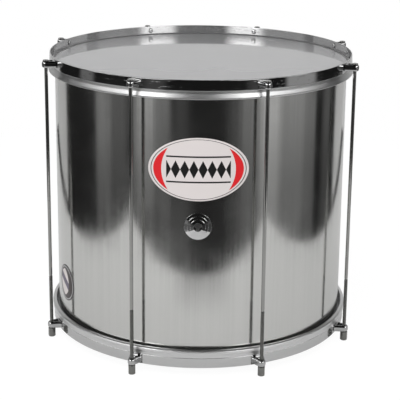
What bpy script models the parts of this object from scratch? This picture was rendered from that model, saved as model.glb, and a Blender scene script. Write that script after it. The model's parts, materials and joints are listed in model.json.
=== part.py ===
"""Large bass drum: a metal shell with a film head at each end, held by eight tension rods.

The drum stands on its eight tuning nuts. Z is up, the drum's axis is the Z axis, and the
vent in the shell faces -Y. The origin is on the axis, level with the nuts' lower faces.
Each end is described by its depth: the distance from the shell's edge towards the middle
of the drum, so that what lies outside the shell's edge has a negative depth.
"""

import math

import bmesh
import bpy
from mathutils import Matrix, Vector

# Shell
SHELL_RADIUS = 0.2540
SHELL_LENGTH = 0.4500
SHELL_WALL = 0.0012
LIP_WIDTH = 0.0055
LIP_DEPTH = 0.0030

# Heads: a plastic film whose collar slopes out to the flesh hoop
FILM_THICKNESS = 0.0004
COLLAR_DEPTH = 0.0090

# Flesh hoops: the bright rings that hold the film's edge
FLESH_STANDOFF = 0.0050
FLESH_WIDTH = 0.0065
FLESH_HEIGHT = 0.0132
FLESH_ROUNDING = 0.0032
FLESH_CHAMFER = 0.0006

# Counter hoops: flat bands that press on the flesh hoops
HOOP_HEIGHT = 0.0175
HOOP_WALL = 0.0025
HOOP_RISE = 0.0160
HOOP_SEAT = 0.0020
HOOP_ROUNDING = 0.0006

# Lugs: strap loops riveted to the counter hoops
ROD_COUNT = 8
ROD_STANDOFF = 0.0150
STRAP_THICKNESS = 0.0027
LUG_HEIGHT = 0.0110
LUG_INSET = 0.0028
LUG_BASE_WIDTH = 0.0230
LUG_BASE_THICKNESS = 0.0025
ROD_PLAY = 0.0010

# Rivets
RIVET_RADIUS = 0.0020
RIVET_HEAD_RADIUS = 0.0045
RIVET_HEAD_HEIGHT = 0.0016

# Tension rods and nuts
ROD_RADIUS = 0.0029
THREAD_RADIUS = 0.003175
THREAD_TOP = 0.1135
ROD_END_RECESS = 0.0015
ROD_HEAD_RADIUS = 0.0052
ROD_HEAD_HEIGHT = 0.0022
NUT_ACROSS_FLATS = 0.0111
NUT_LENGTH = 0.0160
NUT_CHAMFER = 0.0008

# Vent grommet and its lock ring
VENT_DROP = 0.2240
VENT_BORE_RADIUS = 0.0070
VENT_NECK_WALL = 0.0015
VENT_NECK_LENGTH = 0.0060
VENT_RADIUS = 0.0222
VENT_HEIGHT = 0.0062
LOCK_RING_WIDTH = 0.0050
LOCK_RING_THICKNESS = 0.0024

# Front badge and side label: thin plates that follow the shell
BADGE_WIDTH = 0.1600
BADGE_HEIGHT = 0.1040
BADGE_DROP = 0.1300
LABEL_DIAMETER = 0.0640
LABEL_DROP = 0.3780
LABEL_AZIMUTH = math.radians(-64.5)
PLATE_THICKNESS = 0.0005

# Clearances, and how finely the round pieces are cut
SEAT_GAP = 0.0003
SLIP_GAP = 0.0004
HOLE_GAP = 0.0003
ROUND_STEPS = 64
ROD_STEPS = 12
RIVET_STEPS = 8
VENT_STEPS = 32
PLATE_STEPS = 48
LUG_ARC_STEPS = 8

# Radii of the rings, from the shell outwards
FACET_DROP = 1.0 - math.cos(math.pi / ROUND_STEPS)
FLESH_INNER = SHELL_RADIUS + FLESH_STANDOFF
FLESH_OUTER = FLESH_INNER + FLESH_WIDTH
COLLAR_OUTER = FLESH_INNER - SLIP_GAP
BAND_INNER = FLESH_INNER + HOOP_SEAT
BAND_OUTER = BAND_INNER + HOOP_WALL
ROD_CIRCLE = BAND_OUTER + ROD_STANDOFF

# Depths along each end
RIM_DEPTH = -HOOP_RISE
BAND_END_DEPTH = RIM_DEPTH + HOOP_HEIGHT
FLESH_DEPTH = BAND_END_DEPTH + SEAT_GAP
FLESH_END_DEPTH = FLESH_DEPTH + FLESH_HEIGHT
LUG_NEAR_DEPTH = RIM_DEPTH + LUG_INSET
LUG_MIDDLE_DEPTH = LUG_NEAR_DEPTH + LUG_HEIGHT / 2

# Heights above the floor
LOWER_EDGE = NUT_LENGTH + SEAT_GAP - LUG_NEAR_DEPTH
UPPER_EDGE = LOWER_EDGE + SHELL_LENGTH
VENT_Z = UPPER_EDGE - VENT_DROP
BADGE_Z = UPPER_EDGE - BADGE_DROP
LABEL_Z = UPPER_EDGE - LABEL_DROP
LUG_TOP = UPPER_EDGE - LUG_NEAR_DEPTH

# The vent sits midway between two rods
FIRST_ROD_AZIMUTH = math.pi / ROD_COUNT


def clear_scene():
    """Remove every object that the file holds."""
    for item in list(bpy.data.objects):
        bpy.data.objects.remove(item, do_unlink=True)


def material(name, color, roughness, metallic):
    """A Principled material with one colour."""
    made = bpy.data.materials.new(name)
    made.use_nodes = True
    shader = made.node_tree.nodes["Principled BSDF"]
    shader.inputs["Base Color"].default_value = (*color, 1.0)
    shader.inputs["Roughness"].default_value = roughness
    shader.inputs["Metallic"].default_value = metallic
    made.diffuse_color = (*color, 1.0)
    return made


def add_object(name, mesh, finish=None):
    """Link a mesh to the scene under a name, shaded smooth over its round parts."""
    if finish is not None and not mesh.materials:
        mesh.materials.append(finish)
    mesh.shade_smooth()
    mesh.set_sharp_from_angle(angle=math.radians(35))
    item = bpy.data.objects.new(name, mesh)
    bpy.context.scene.collection.objects.link(item)
    return item


def mesh_from(work, name):
    """Turn a bmesh into a mesh with its faces pointing out."""
    bmesh.ops.recalc_face_normals(work, faces=work.faces)
    mesh = bpy.data.meshes.new(name)
    work.to_mesh(mesh)
    work.free()
    return mesh


def turned(name, profile, steps):
    """Spin a closed profile of (radius, height) points about the Z axis."""
    work = bmesh.new()
    corners = [work.verts.new((radius, 0.0, height)) for radius, height in profile]
    for index, corner in enumerate(corners):
        following = corners[(index + 1) % len(corners)]
        if corner.co.x > 0.0 or following.co.x > 0.0:
            work.edges.new((corner, following))
    bmesh.ops.spin(
        work,
        geom=list(work.verts) + list(work.edges),
        cent=(0.0, 0.0, 0.0),
        axis=(0.0, 0.0, 1.0),
        angle=math.tau,
        steps=steps,
        use_merge=True,
    )
    bmesh.ops.remove_doubles(work, verts=work.verts, dist=1e-6)
    return mesh_from(work, name)


def cut(target, tool, operation="DIFFERENCE"):
    """Apply one exact Boolean to an object's mesh and remove the tool."""
    step = target.modifiers.new("cut", "BOOLEAN")
    step.operation = operation
    step.solver = "EXACT"
    step.object = tool
    bpy.context.view_layer.update()
    graph = bpy.context.evaluated_depsgraph_get()
    result = bpy.data.meshes.new_from_object(target.evaluated_get(graph))
    target.modifiers.remove(step)
    target.data = result
    bpy.data.objects.remove(tool, do_unlink=True)
    return target


def radial(azimuth):
    """Unit vector away from the drum's axis. Azimuth 0 faces -Y and grows towards +X."""
    return Vector((math.sin(azimuth), -math.cos(azimuth), 0.0))


def radial_frame(azimuth, distance, height):
    """Matrix that takes local X outwards, local Y along the hoop and local Z up."""
    turn = Matrix.Rotation(azimuth - math.pi / 2, 4, "Z")
    return Matrix.Translation(radial(azimuth) * distance + Vector((0.0, 0.0, height))) @ turn


def pin_radius(radius, steps):
    """Radius for a drill of so many sides that its flats clear a round of this radius."""
    return radius / math.cos(math.pi / steps)


def radial_drills(name, radius, middle, reach, height, azimuths, steps):
    """Round drills that run along several radii, joined in one object."""
    work = bmesh.new()
    lay_down = Matrix.Rotation(math.pi / 2, 4, "Y")
    for azimuth in azimuths:
        bmesh.ops.create_cone(
            work,
            cap_ends=True,
            segments=steps,
            radius1=pin_radius(radius, steps),
            radius2=pin_radius(radius, steps),
            depth=2 * reach,
            matrix=radial_frame(azimuth, middle, height) @ lay_down,
        )
    return add_object(name, mesh_from(work, name))


def rod_azimuths():
    """Azimuth of each tension rod."""
    return [FIRST_ROD_AZIMUTH + index * math.tau / ROD_COUNT for index in range(ROD_COUNT)]


def height_at(depth, upper):
    """Height above the floor of a depth at one end of the drum."""
    return UPPER_EDGE - depth if upper else LOWER_EDGE + depth


def at_end(profile, upper):
    """Turn (radius, depth) points into (radius, height) points at one end of the drum."""
    return [(radius, height_at(depth, upper)) for radius, depth in profile]


def rounded_corner(radius, depth, size, turn, steps=4):
    """Points of a quarter round about (radius, depth), from the angle `turn` in degrees."""
    angles = [math.radians(turn + 90 * step / steps) for step in range(steps + 1)]
    return [(radius + size * math.cos(a), depth + size * math.sin(a)) for a in angles]


def lip_profile():
    """The rolled edge of the shell, from its outer wall to its inner wall."""
    outer = SHELL_RADIUS
    inner = SHELL_RADIUS - SHELL_WALL
    return [
        (outer, LIP_DEPTH),
        (outer - 0.15 * LIP_WIDTH, 0.25 * LIP_DEPTH),
        (outer - 0.50 * LIP_WIDTH, 0.0),
        (outer - LIP_WIDTH, 0.25 * LIP_DEPTH),
        (outer - LIP_WIDTH, 0.25 * LIP_DEPTH + SHELL_WALL),
        (outer - 0.50 * LIP_WIDTH, SHELL_WALL),
        (inner, LIP_DEPTH + SHELL_WALL),
    ]


def make_shell(finish):
    """Rolled sheet tube with a lip at each end and the hole for the vent."""
    upper = at_end(lip_profile(), True)
    lower = at_end(lip_profile(), False)
    shell = add_object("shell", turned("shell", upper + lower[::-1], ROUND_STEPS), finish)
    hole = VENT_BORE_RADIUS + VENT_NECK_WALL + HOLE_GAP
    reach = 10 * SHELL_WALL
    drill = radial_drills("vent_drill", hole, SHELL_RADIUS, reach, VENT_Z, [0.0], VENT_STEPS)
    return cut(shell, drill)


def make_head(name, upper, finish):
    """The film: a flat disc over the shell's edge, with a collar out to the flesh hoop."""
    under = -SEAT_GAP
    face = under - FILM_THICKNESS
    shoulder = SHELL_RADIUS + SLIP_GAP
    profile = [
        (0.0, face),
        (shoulder, face),
        (COLLAR_OUTER, COLLAR_DEPTH),
        (COLLAR_OUTER - FILM_THICKNESS, COLLAR_DEPTH),
        (shoulder, under + FILM_THICKNESS),
        (shoulder - FILM_THICKNESS, under),
        (0.0, under),
    ]
    return add_object(name, turned(name, at_end(profile, upper), ROUND_STEPS), finish)


def make_flesh_hoop(name, upper, finish):
    """The bright ring under the counter hoop, rounded on its outer far corner."""
    round_radius = FLESH_OUTER - FLESH_ROUNDING
    round_depth = FLESH_END_DEPTH - FLESH_ROUNDING
    profile = [
        (FLESH_INNER, FLESH_DEPTH + FLESH_CHAMFER),
        (FLESH_INNER + FLESH_CHAMFER, FLESH_DEPTH),
        (FLESH_OUTER - FLESH_CHAMFER, FLESH_DEPTH),
        (FLESH_OUTER, FLESH_DEPTH + FLESH_CHAMFER),
    ]
    profile += rounded_corner(round_radius, round_depth, FLESH_ROUNDING, 0)
    profile += [(FLESH_INNER, FLESH_END_DEPTH)]
    return add_object(name, turned(name, at_end(profile, upper), ROUND_STEPS), finish)


def make_counter_hoop(name, upper, finish):
    """The steel band with softened edges and a rivet hole at each lug."""
    edge = HOOP_ROUNDING
    profile = [
        (BAND_OUTER, RIM_DEPTH + edge),
        (BAND_OUTER, BAND_END_DEPTH - edge),
        (BAND_OUTER - edge, BAND_END_DEPTH),
        (BAND_INNER, BAND_END_DEPTH),
        (BAND_INNER, RIM_DEPTH + edge),
        (BAND_INNER + edge, RIM_DEPTH),
        (BAND_OUTER - edge, RIM_DEPTH),
    ]
    hoop = add_object(name, turned(name, at_end(profile, upper), ROUND_STEPS), finish)
    hole = RIVET_RADIUS + HOLE_GAP
    height = height_at(LUG_MIDDLE_DEPTH, upper)
    reach = 4 * HOOP_WALL
    drills = radial_drills(
        name + "_drill", hole, BAND_INNER, reach, height, rod_azimuths(), ROD_STEPS
    )
    return cut(hoop, drills)


def lug_outline():
    """Outer and inner outline of the strap loop, as matching lists of (outwards, along)."""
    centre = ROD_STANDOFF - SEAT_GAP
    inner_radius = THREAD_RADIUS + ROD_PLAY
    outer_radius = inner_radius + STRAP_THICKNESS
    corner = LUG_BASE_WIDTH / 2
    span = math.hypot(centre, corner)
    tangent = math.atan2(corner, -centre) - math.acos(outer_radius / span)
    slope = -1.0 / math.tan(tangent)
    inner_u = centre + inner_radius * math.cos(tangent)
    inner_v = inner_radius * math.sin(tangent)
    inner_corner = inner_v + (LUG_BASE_THICKNESS - inner_u) * slope
    shares = [1 - 2 * step / LUG_ARC_STEPS for step in range(LUG_ARC_STEPS + 1)]
    angles = [tangent * share for share in shares]
    outer = [(0.0, corner)]
    outer += [(centre + outer_radius * math.cos(a), outer_radius * math.sin(a)) for a in angles]
    outer += [(0.0, -corner)]
    inner = [(LUG_BASE_THICKNESS, inner_corner)]
    inner += [(centre + inner_radius * math.cos(a), inner_radius * math.sin(a)) for a in angles]
    inner += [(LUG_BASE_THICKNESS, -inner_corner)]
    return outer, inner


def lug_mesh():
    """Strap loop with a rivet hole in its base. Local X points away from the hoop."""
    outer, inner = lug_outline()
    work = bmesh.new()
    low = -LUG_HEIGHT / 2
    outer_ring = [work.verts.new((u, v, low)) for u, v in outer]
    inner_ring = [work.verts.new((u, v, low)) for u, v in inner]
    for index in range(len(outer_ring)):
        following = (index + 1) % len(outer_ring)
        work.faces.new(
            (outer_ring[index], outer_ring[following], inner_ring[following], inner_ring[index])
        )
    raised = bmesh.ops.extrude_face_region(work, geom=list(work.faces))
    moved = [part for part in raised["geom"] if isinstance(part, bmesh.types.BMVert)]
    bmesh.ops.translate(work, verts=moved, vec=(0.0, 0.0, LUG_HEIGHT))
    blank = add_object("lug_blank", mesh_from(work, "lug"))
    drill = bmesh.new()
    bmesh.ops.create_cone(
        drill,
        cap_ends=True,
        segments=ROD_STEPS,
        radius1=pin_radius(RIVET_RADIUS + HOLE_GAP, ROD_STEPS),
        radius2=pin_radius(RIVET_RADIUS + HOLE_GAP, ROD_STEPS),
        depth=3 * LUG_BASE_THICKNESS,
        matrix=Matrix.Rotation(math.pi / 2, 4, "Y"),
    )
    cut(blank, add_object("lug_drill", mesh_from(drill, "lug_drill")))
    mesh = blank.data
    bpy.data.objects.remove(blank, do_unlink=True)
    return mesh


def make_lugs(prefix, upper, mesh, finish):
    """One strap loop beside each rod."""
    height = height_at(LUG_MIDDLE_DEPTH, upper)
    for number, azimuth in enumerate(rod_azimuths(), start=1):
        lug = add_object(f"{prefix}_{number}", mesh, finish)
        lug.matrix_world = radial_frame(azimuth, BAND_OUTER + SEAT_GAP, height)


def make_rivets(prefix, upper, finish):
    """One rivet through each lug's base and the hoop."""
    inner_seat = BAND_INNER * (1 - FACET_DROP) - SEAT_GAP
    outer_seat = BAND_OUTER + SEAT_GAP + LUG_BASE_THICKNESS + SEAT_GAP
    crown = 0.6 * RIVET_HEAD_RADIUS
    profile = [
        (0.0, inner_seat - RIVET_HEAD_HEIGHT),
        (crown, inner_seat - RIVET_HEAD_HEIGHT),
        (RIVET_HEAD_RADIUS, inner_seat - 0.3 * RIVET_HEAD_HEIGHT),
        (RIVET_HEAD_RADIUS, inner_seat),
        (RIVET_RADIUS, inner_seat),
        (RIVET_RADIUS, outer_seat),
        (RIVET_HEAD_RADIUS, outer_seat),
        (RIVET_HEAD_RADIUS, outer_seat + 0.3 * RIVET_HEAD_HEIGHT),
        (crown, outer_seat + RIVET_HEAD_HEIGHT),
        (0.0, outer_seat + RIVET_HEAD_HEIGHT),
    ]
    mesh = turned("rivet", [(radius, out - BAND_OUTER) for radius, out in profile], RIVET_STEPS)
    mesh.transform(Matrix.Rotation(math.pi / 2, 4, "Y"))
    height = height_at(LUG_MIDDLE_DEPTH, upper)
    for number, azimuth in enumerate(rod_azimuths(), start=1):
        rivet = add_object(f"{prefix}_{number}", mesh, finish)
        rivet.matrix_world = radial_frame(azimuth, BAND_OUTER, height)


def make_rods(finish):
    """Tension rods: a head over the upper lug, a plain shank and a threaded lower part."""
    head = LUG_TOP + SEAT_GAP
    tip = 0.6 * THREAD_RADIUS
    profile = [
        (0.0, ROD_END_RECESS),
        (tip, ROD_END_RECESS),
        (THREAD_RADIUS, ROD_END_RECESS + THREAD_RADIUS - tip),
        (THREAD_RADIUS, THREAD_TOP),
        (ROD_RADIUS, THREAD_TOP + THREAD_RADIUS - ROD_RADIUS),
        (ROD_RADIUS, head),
        (ROD_HEAD_RADIUS, head),
        (ROD_HEAD_RADIUS, head + 0.5 * ROD_HEAD_HEIGHT),
        (0.75 * ROD_HEAD_RADIUS, head + 0.9 * ROD_HEAD_HEIGHT),
        (0.40 * ROD_HEAD_RADIUS, head + ROD_HEAD_HEIGHT),
        (0.0, head + ROD_HEAD_HEIGHT),
    ]
    mesh = turned("tension_rod", profile, ROD_STEPS)
    for number, azimuth in enumerate(rod_azimuths(), start=1):
        rod = add_object(f"tension_rod_{number}", mesh, finish)
        rod.location = radial(azimuth) * ROD_CIRCLE


def nut_mesh():
    """Long hexagon nut with chamfered ends and a clear bore."""
    corner = NUT_ACROSS_FLATS / 2 / math.cos(math.pi / 6)
    profile = [
        (0.0, 0.0),
        (corner - NUT_CHAMFER, 0.0),
        (corner, NUT_CHAMFER),
        (corner, NUT_LENGTH - NUT_CHAMFER),
        (corner - NUT_CHAMFER, NUT_LENGTH),
        (0.0, NUT_LENGTH),
    ]
    blank = add_object("nut_blank", turned("nut", profile, 6))
    drill = bmesh.new()
    bmesh.ops.create_cone(
        drill,
        cap_ends=True,
        segments=ROD_STEPS,
        radius1=pin_radius(THREAD_RADIUS + HOLE_GAP, ROD_STEPS),
        radius2=pin_radius(THREAD_RADIUS + HOLE_GAP, ROD_STEPS),
        depth=3 * NUT_LENGTH,
    )
    cut(blank, add_object("nut_drill", mesh_from(drill, "nut_drill")))
    mesh = blank.data
    bpy.data.objects.remove(blank, do_unlink=True)
    return mesh


def make_nuts(finish):
    """One tuning nut under each lower lug, on the rod's axis."""
    mesh = nut_mesh()
    for number, azimuth in enumerate(rod_azimuths(), start=1):
        nut = add_object(f"tuning_nut_{number}", mesh, finish)
        nut.location = radial(azimuth) * ROD_CIRCLE
        nut.rotation_euler.z = azimuth


def bend_to_shell(mesh):
    """Let a piece that lies flat at the front follow the shell's curve."""
    for vertex in mesh.vertices:
        across = vertex.co.x
        vertex.co.y += SHELL_RADIUS - math.sqrt(SHELL_RADIUS**2 - across**2)


def facing_front(mesh):
    """Turn a piece spun about Z so that its axis points along -Y from the shell's front."""
    mesh.transform(Matrix.Rotation(math.pi / 2, 4, "X"))
    mesh.transform(Matrix.Translation((0.0, -SHELL_RADIUS, VENT_Z)))
    return mesh


def make_vent(finish):
    """Stepped dome with a neck through the shell. Profile points are (radius, outwards)."""
    neck = VENT_BORE_RADIUS + VENT_NECK_WALL
    reach = VENT_RADIUS - neck
    profile = [
        (VENT_BORE_RADIUS, -SHELL_WALL - VENT_NECK_LENGTH),
        (VENT_BORE_RADIUS, 0.60 * VENT_HEIGHT),
        (neck, 0.95 * VENT_HEIGHT),
        (neck + 0.12 * reach, VENT_HEIGHT),
        (neck + 0.30 * reach, 0.86 * VENT_HEIGHT),
        (neck + 0.36 * reach, 0.70 * VENT_HEIGHT),
        (neck + 0.62 * reach, 0.60 * VENT_HEIGHT),
        (neck + 0.68 * reach, 0.44 * VENT_HEIGHT),
        (neck + 0.93 * reach, 0.32 * VENT_HEIGHT),
        (VENT_RADIUS, 0.20 * VENT_HEIGHT),
        (VENT_RADIUS, SEAT_GAP),
        (neck, SEAT_GAP),
        (neck, -SHELL_WALL - VENT_NECK_LENGTH),
    ]
    mesh = facing_front(turned("vent_grommet", profile, VENT_STEPS))
    bend_to_shell(mesh)
    return add_object("vent_grommet", mesh, finish)


def make_lock_ring(finish):
    """Ring inside the shell that holds the vent's neck."""
    inner = pin_radius(VENT_BORE_RADIUS + VENT_NECK_WALL + HOLE_GAP, VENT_STEPS)
    outer = inner + LOCK_RING_WIDTH
    front = -SHELL_WALL - SEAT_GAP - SHELL_RADIUS * FACET_DROP
    back = front - LOCK_RING_THICKNESS
    profile = [(inner, back), (outer, back), (outer, front), (inner, front)]
    mesh = facing_front(turned("vent_lock_ring", profile, VENT_STEPS))
    bend_to_shell(mesh)
    return add_object("vent_lock_ring", mesh, finish)


def make_plate(name, width, height, azimuth, level, finish):
    """Thin oval plate wrapped on the shell: a sleeve of the shell's facets, cut to an oval."""
    inner = SHELL_RADIUS + SEAT_GAP
    outer = inner + PLATE_THICKNESS
    low = level - height
    high = level + height
    sleeve = turned(name, [(inner, low), (outer, low), (outer, high), (inner, high)], ROUND_STEPS)
    plate = add_object(name, sleeve, finish)
    tool = bmesh.new()
    oval = Matrix.Diagonal((height, width, 1.0, 1.0))
    lay_down = Matrix.Rotation(math.pi / 2, 4, "Y")
    bmesh.ops.create_cone(
        tool,
        cap_ends=True,
        segments=PLATE_STEPS,
        radius1=0.5,
        radius2=0.5,
        depth=SHELL_RADIUS,
        matrix=radial_frame(azimuth, SHELL_RADIUS, level) @ lay_down @ oval,
    )
    return cut(plate, add_object(name + "_tool", mesh_from(tool, name)), "INTERSECT")


def main():
    clear_scene()
    aluminium = material("shell_aluminium", (0.62, 0.62, 0.61), 0.12, 1.0)
    hoop_steel = material("hoop_steel", (0.60, 0.60, 0.60), 0.22, 1.0)
    lug_steel = material("lug_steel", (0.62, 0.62, 0.62), 0.15, 1.0)
    rivet_steel = material("rivet_steel", (0.58, 0.58, 0.58), 0.25, 1.0)
    rod_steel = material("rod_steel", (0.50, 0.49, 0.48), 0.28, 1.0)
    nut_steel = material("nut_steel", (0.45, 0.45, 0.43), 0.32, 1.0)
    film = material("head_film", (0.52, 0.52, 0.52), 0.18, 0.0)
    ring_alloy = material("flesh_hoop_alloy", (0.80, 0.80, 0.80), 0.25, 1.0)
    vent_chrome = material("vent_chrome", (0.66, 0.66, 0.66), 0.06, 1.0)
    ring_steel = material("lock_ring_steel", (0.50, 0.50, 0.50), 0.35, 1.0)
    badge = material("badge_face", (0.80, 0.77, 0.76), 0.25, 0.0)
    label = material("label_face", (0.60, 0.60, 0.60), 0.30, 0.0)

    make_shell(aluminium)
    lugs = lug_mesh()
    for side, upper in (("top", True), ("bottom", False)):
        make_head(f"{side}_head", upper, film)
        make_flesh_hoop(f"{side}_flesh_hoop", upper, ring_alloy)
        make_counter_hoop(f"{side}_counter_hoop", upper, hoop_steel)
        make_lugs(f"{side}_lug", upper, lugs, lug_steel)
        make_rivets(f"{side}_rivet", upper, rivet_steel)
    make_rods(rod_steel)
    make_nuts(nut_steel)
    make_vent(vent_chrome)
    make_lock_ring(ring_steel)
    make_plate("front_badge", BADGE_WIDTH, BADGE_HEIGHT, 0.0, BADGE_Z, badge)
    make_plate("side_label", LABEL_DIAMETER, LABEL_DIAMETER, LABEL_AZIMUTH, LABEL_Z, label)


main()
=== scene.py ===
"""Large two-headed bass drum: fine meshes, finishes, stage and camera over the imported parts."""

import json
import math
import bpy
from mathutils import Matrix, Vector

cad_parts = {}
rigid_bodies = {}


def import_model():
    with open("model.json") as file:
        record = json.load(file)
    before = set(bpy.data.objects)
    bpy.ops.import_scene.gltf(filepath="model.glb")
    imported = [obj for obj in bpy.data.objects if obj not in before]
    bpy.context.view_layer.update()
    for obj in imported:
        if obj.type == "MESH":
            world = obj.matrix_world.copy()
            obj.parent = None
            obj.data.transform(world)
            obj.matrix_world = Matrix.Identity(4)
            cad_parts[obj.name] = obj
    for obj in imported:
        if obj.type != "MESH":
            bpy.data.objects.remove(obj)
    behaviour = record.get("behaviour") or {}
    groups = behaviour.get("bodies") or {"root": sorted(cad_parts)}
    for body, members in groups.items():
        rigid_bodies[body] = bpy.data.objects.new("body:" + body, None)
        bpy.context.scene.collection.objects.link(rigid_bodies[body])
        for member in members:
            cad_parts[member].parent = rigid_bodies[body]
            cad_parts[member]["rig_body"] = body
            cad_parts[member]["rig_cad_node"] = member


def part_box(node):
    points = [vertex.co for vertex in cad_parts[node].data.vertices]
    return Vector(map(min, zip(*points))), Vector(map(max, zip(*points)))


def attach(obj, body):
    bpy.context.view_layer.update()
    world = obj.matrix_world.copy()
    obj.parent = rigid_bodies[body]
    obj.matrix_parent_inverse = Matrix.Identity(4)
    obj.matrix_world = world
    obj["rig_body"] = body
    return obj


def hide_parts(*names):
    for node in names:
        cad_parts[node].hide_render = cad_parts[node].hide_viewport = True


bl_info = {
    "name": "Bass drum looks",
    "version": (1, 0, 0),
    "blender": (4, 5, 0),
    "location": "3D View > Sidebar > Bass Drum",
    "description": "Builds the visual meshes, finishes, stage and camera of a bass drum",
    "category": "Object",
}

import bmesh
import bpy
from bpy.props import FloatProperty, FloatVectorProperty, IntProperty, PointerProperty
from mathutils import Matrix, Vector

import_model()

SIDES = ("top", "bottom")
RODS = range(1, 9)
UP = (0.0, 0.0, 1.0)
# A flesh hoop's section: shares of its lean, of its height and of its rounding.
FLESH_SECTIONS = {"top": (1.0, 0.18, 1.0), "bottom": (0.4, 0.45, 2.2)}
# Corners of the vent's terraces: shares of its reach beyond the neck, and of its rise.
VENT_TERRACES = ((0.28, 0.865), (0.29, 0.64), (0.62, 0.53), (0.63, 0.30))
VENT_RIM = 0.174
# Half of a rivet's dome: shares of its radius, and of its height.
RIVET_DOME = ((0.0, 1.0), (0.35, 0.97), (0.66, 0.82), (0.87, 0.55), (0.97, 0.22), (1.0, 0.0))

# What the metal mirrors of the room: upright strips of light, each with its azimuth, half width and
# softness in degrees, and its level. Those of the floor lie beyond the white sheet.
FLOOR_STRIPS = (
    (-80, 8, 1.5, 0.16), (-64, 7, 2, 0.08), (-43, 8, 3, 0.27), (-29, 6.5, 3, 0.13),
    (-14, 5, 4, 0.035), (27, 5, 4, 0.05), (39, 7, 4, 0.15), (56, 9, 4, 0.37),
    (76, 10, 4, 0.20), (93, 8, 2, 0.13), (117, 6, 3, 0.06),
)
LOW_STRIP = ((-18, 13, 4, 0.06),)
WALL_STRIPS = ((-92, 7, 3, 0.18), (-33, 8, 4, 0.06), (42, 6, 4, 0.06), (80, 14, 3, 0.36))
FRONT_BOXES = ((-36, 14, 5, 3.1), (36, 14, 5, 3.1))
SIDE_BOXES = ((-60, 32, 3, 3.5), (60, 32, 3, 2.8))

# Turns a piece that was spun about Z so that it faces the front.
TO_FRONT = Matrix.Rotation(math.pi / 2, 4, "X")


def length(name, description, default):
    """A length property in metres."""
    return FloatProperty(name=name, description=description, default=default, unit="LENGTH", min=0)


def share(name, description, default):
    """A property between nothing and all."""
    return FloatProperty(name=name, description=description, default=default, min=0, max=1)


def angle(name, description, degrees):
    """An angle property, its default given in degrees."""
    return FloatProperty(
        name=name, description=description, default=math.radians(degrees), subtype="ANGLE"
    )


def colour(name, description, default):
    """A colour property."""
    return FloatVectorProperty(
        name=name, description=description, default=default, subtype="COLOR", size=3, min=0, max=1
    )


class DrumForms(bpy.types.PropertyGroup):
    """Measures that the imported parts' boxes don't give."""

    ring_steps: IntProperty(
        name="Ring steps", description="Steps around the large rings", default=288, min=64
    )
    small_steps: IntProperty(
        name="Small steps", description="Steps around rods, rivets and bores", default=32, min=12
    )
    shell_wall: length("Shell wall", "Thickness of the shell's sheet", 0.0012)
    lip_width: length("Lip width", "How far the shell's rolled edge reaches inwards", 0.0055)
    lip_depth: length("Lip depth", "Height of the shell's rolled edge", 0.003)
    film_thickness: length("Film thickness", "Thickness of the heads", 0.0004)
    seat_gap: length("Seat gap", "Clearance between pieces that lie on each other", 0.0003)
    flesh_width: length("Flesh hoop width", "Radial width of the flesh hoops", 0.0065)
    collar_drop: length("Collar drop", "Fall of the heads from their shoulder to their rim", 0.0032)
    collar_rounding: length("Collar rounding", "Rounding of the heads' shoulder", 0.0012)
    flesh_lean: length("Flesh hoop lean", "How far their outer face leans inwards", 0.0020)
    flesh_rounding: length("Flesh hoop rounding", "Rounding of their outer far edge", 0.0014)
    flesh_softening: length("Flesh hoop softening", "Rounding of their other corners", 0.0010)
    band_wall: length("Band wall", "Thickness of the counter hoops", 0.0025)
    band_rounding: length("Band rounding", "Softening of the counter hoops' edges", 0.0010)
    band_lean: length("Band lean", "How far the top hoop's outer face leans in at its rim", 0.0009)
    strap_thickness: length("Strap thickness", "Thickness of the lugs' strap", 0.0027)
    lug_base: length("Lug base", "Width of a lug where it meets the hoop", 0.023)
    lug_base_thickness: length("Lug base thickness", "Thickness of a lug's base", 0.0025)
    lug_rounding: length("Lug rounding", "Rounding of the lugs' outer edges", 0.0025)
    rod_radius: length("Rod radius", "Radius of the plain shank", 0.0029)
    thread_radius: length("Thread radius", "Radius over the thread's crests", 0.003175)
    thread_pitch: length("Thread pitch", "Rise of the thread in one turn", 0.00127)
    thread_top: length("Thread top", "Height where the thread runs out", 0.1135)
    rod_play: length("Rod play", "Clearance of a rod in its lug", 0.001)
    rod_head_height: length("Rod head height", "Height of a rod's head", 0.0022)
    rivet_radius: length("Rivet radius", "Radius of the rivets' shanks", 0.002)
    rivet_head_radius: length("Rivet head radius", "Radius of the rivets' heads", 0.0045)
    rivet_head_height: length("Rivet head height", "Height of the rivets' domes", 0.0016)
    nut_flats: length("Nut across flats", "Width of the nuts over two flats", 0.0111)
    nut_bore: length("Nut bore", "Radius of the nuts' bore", 0.003475)
    nut_chamfer: length("Nut chamfer", "Depth of the turned chamfers", 0.0011)
    vent_bore: length("Vent bore", "Radius of the vent's opening", 0.007)
    vent_neck_wall: length("Vent neck wall", "Wall of the vent's neck", 0.0015)
    vent_rounding: length("Vent rounding", "Rounding of the vent's bore and outer edge", 0.0002)
    lock_thickness: length("Lock ring thickness", "Thickness of the vent's lock ring", 0.0024)
    lock_rounding: length("Lock ring rounding", "Softening of the lock ring's edges", 0.0003)
    sticker_thickness: length("Sticker thickness", "Thickness of badge and label", 0.0005)


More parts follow.
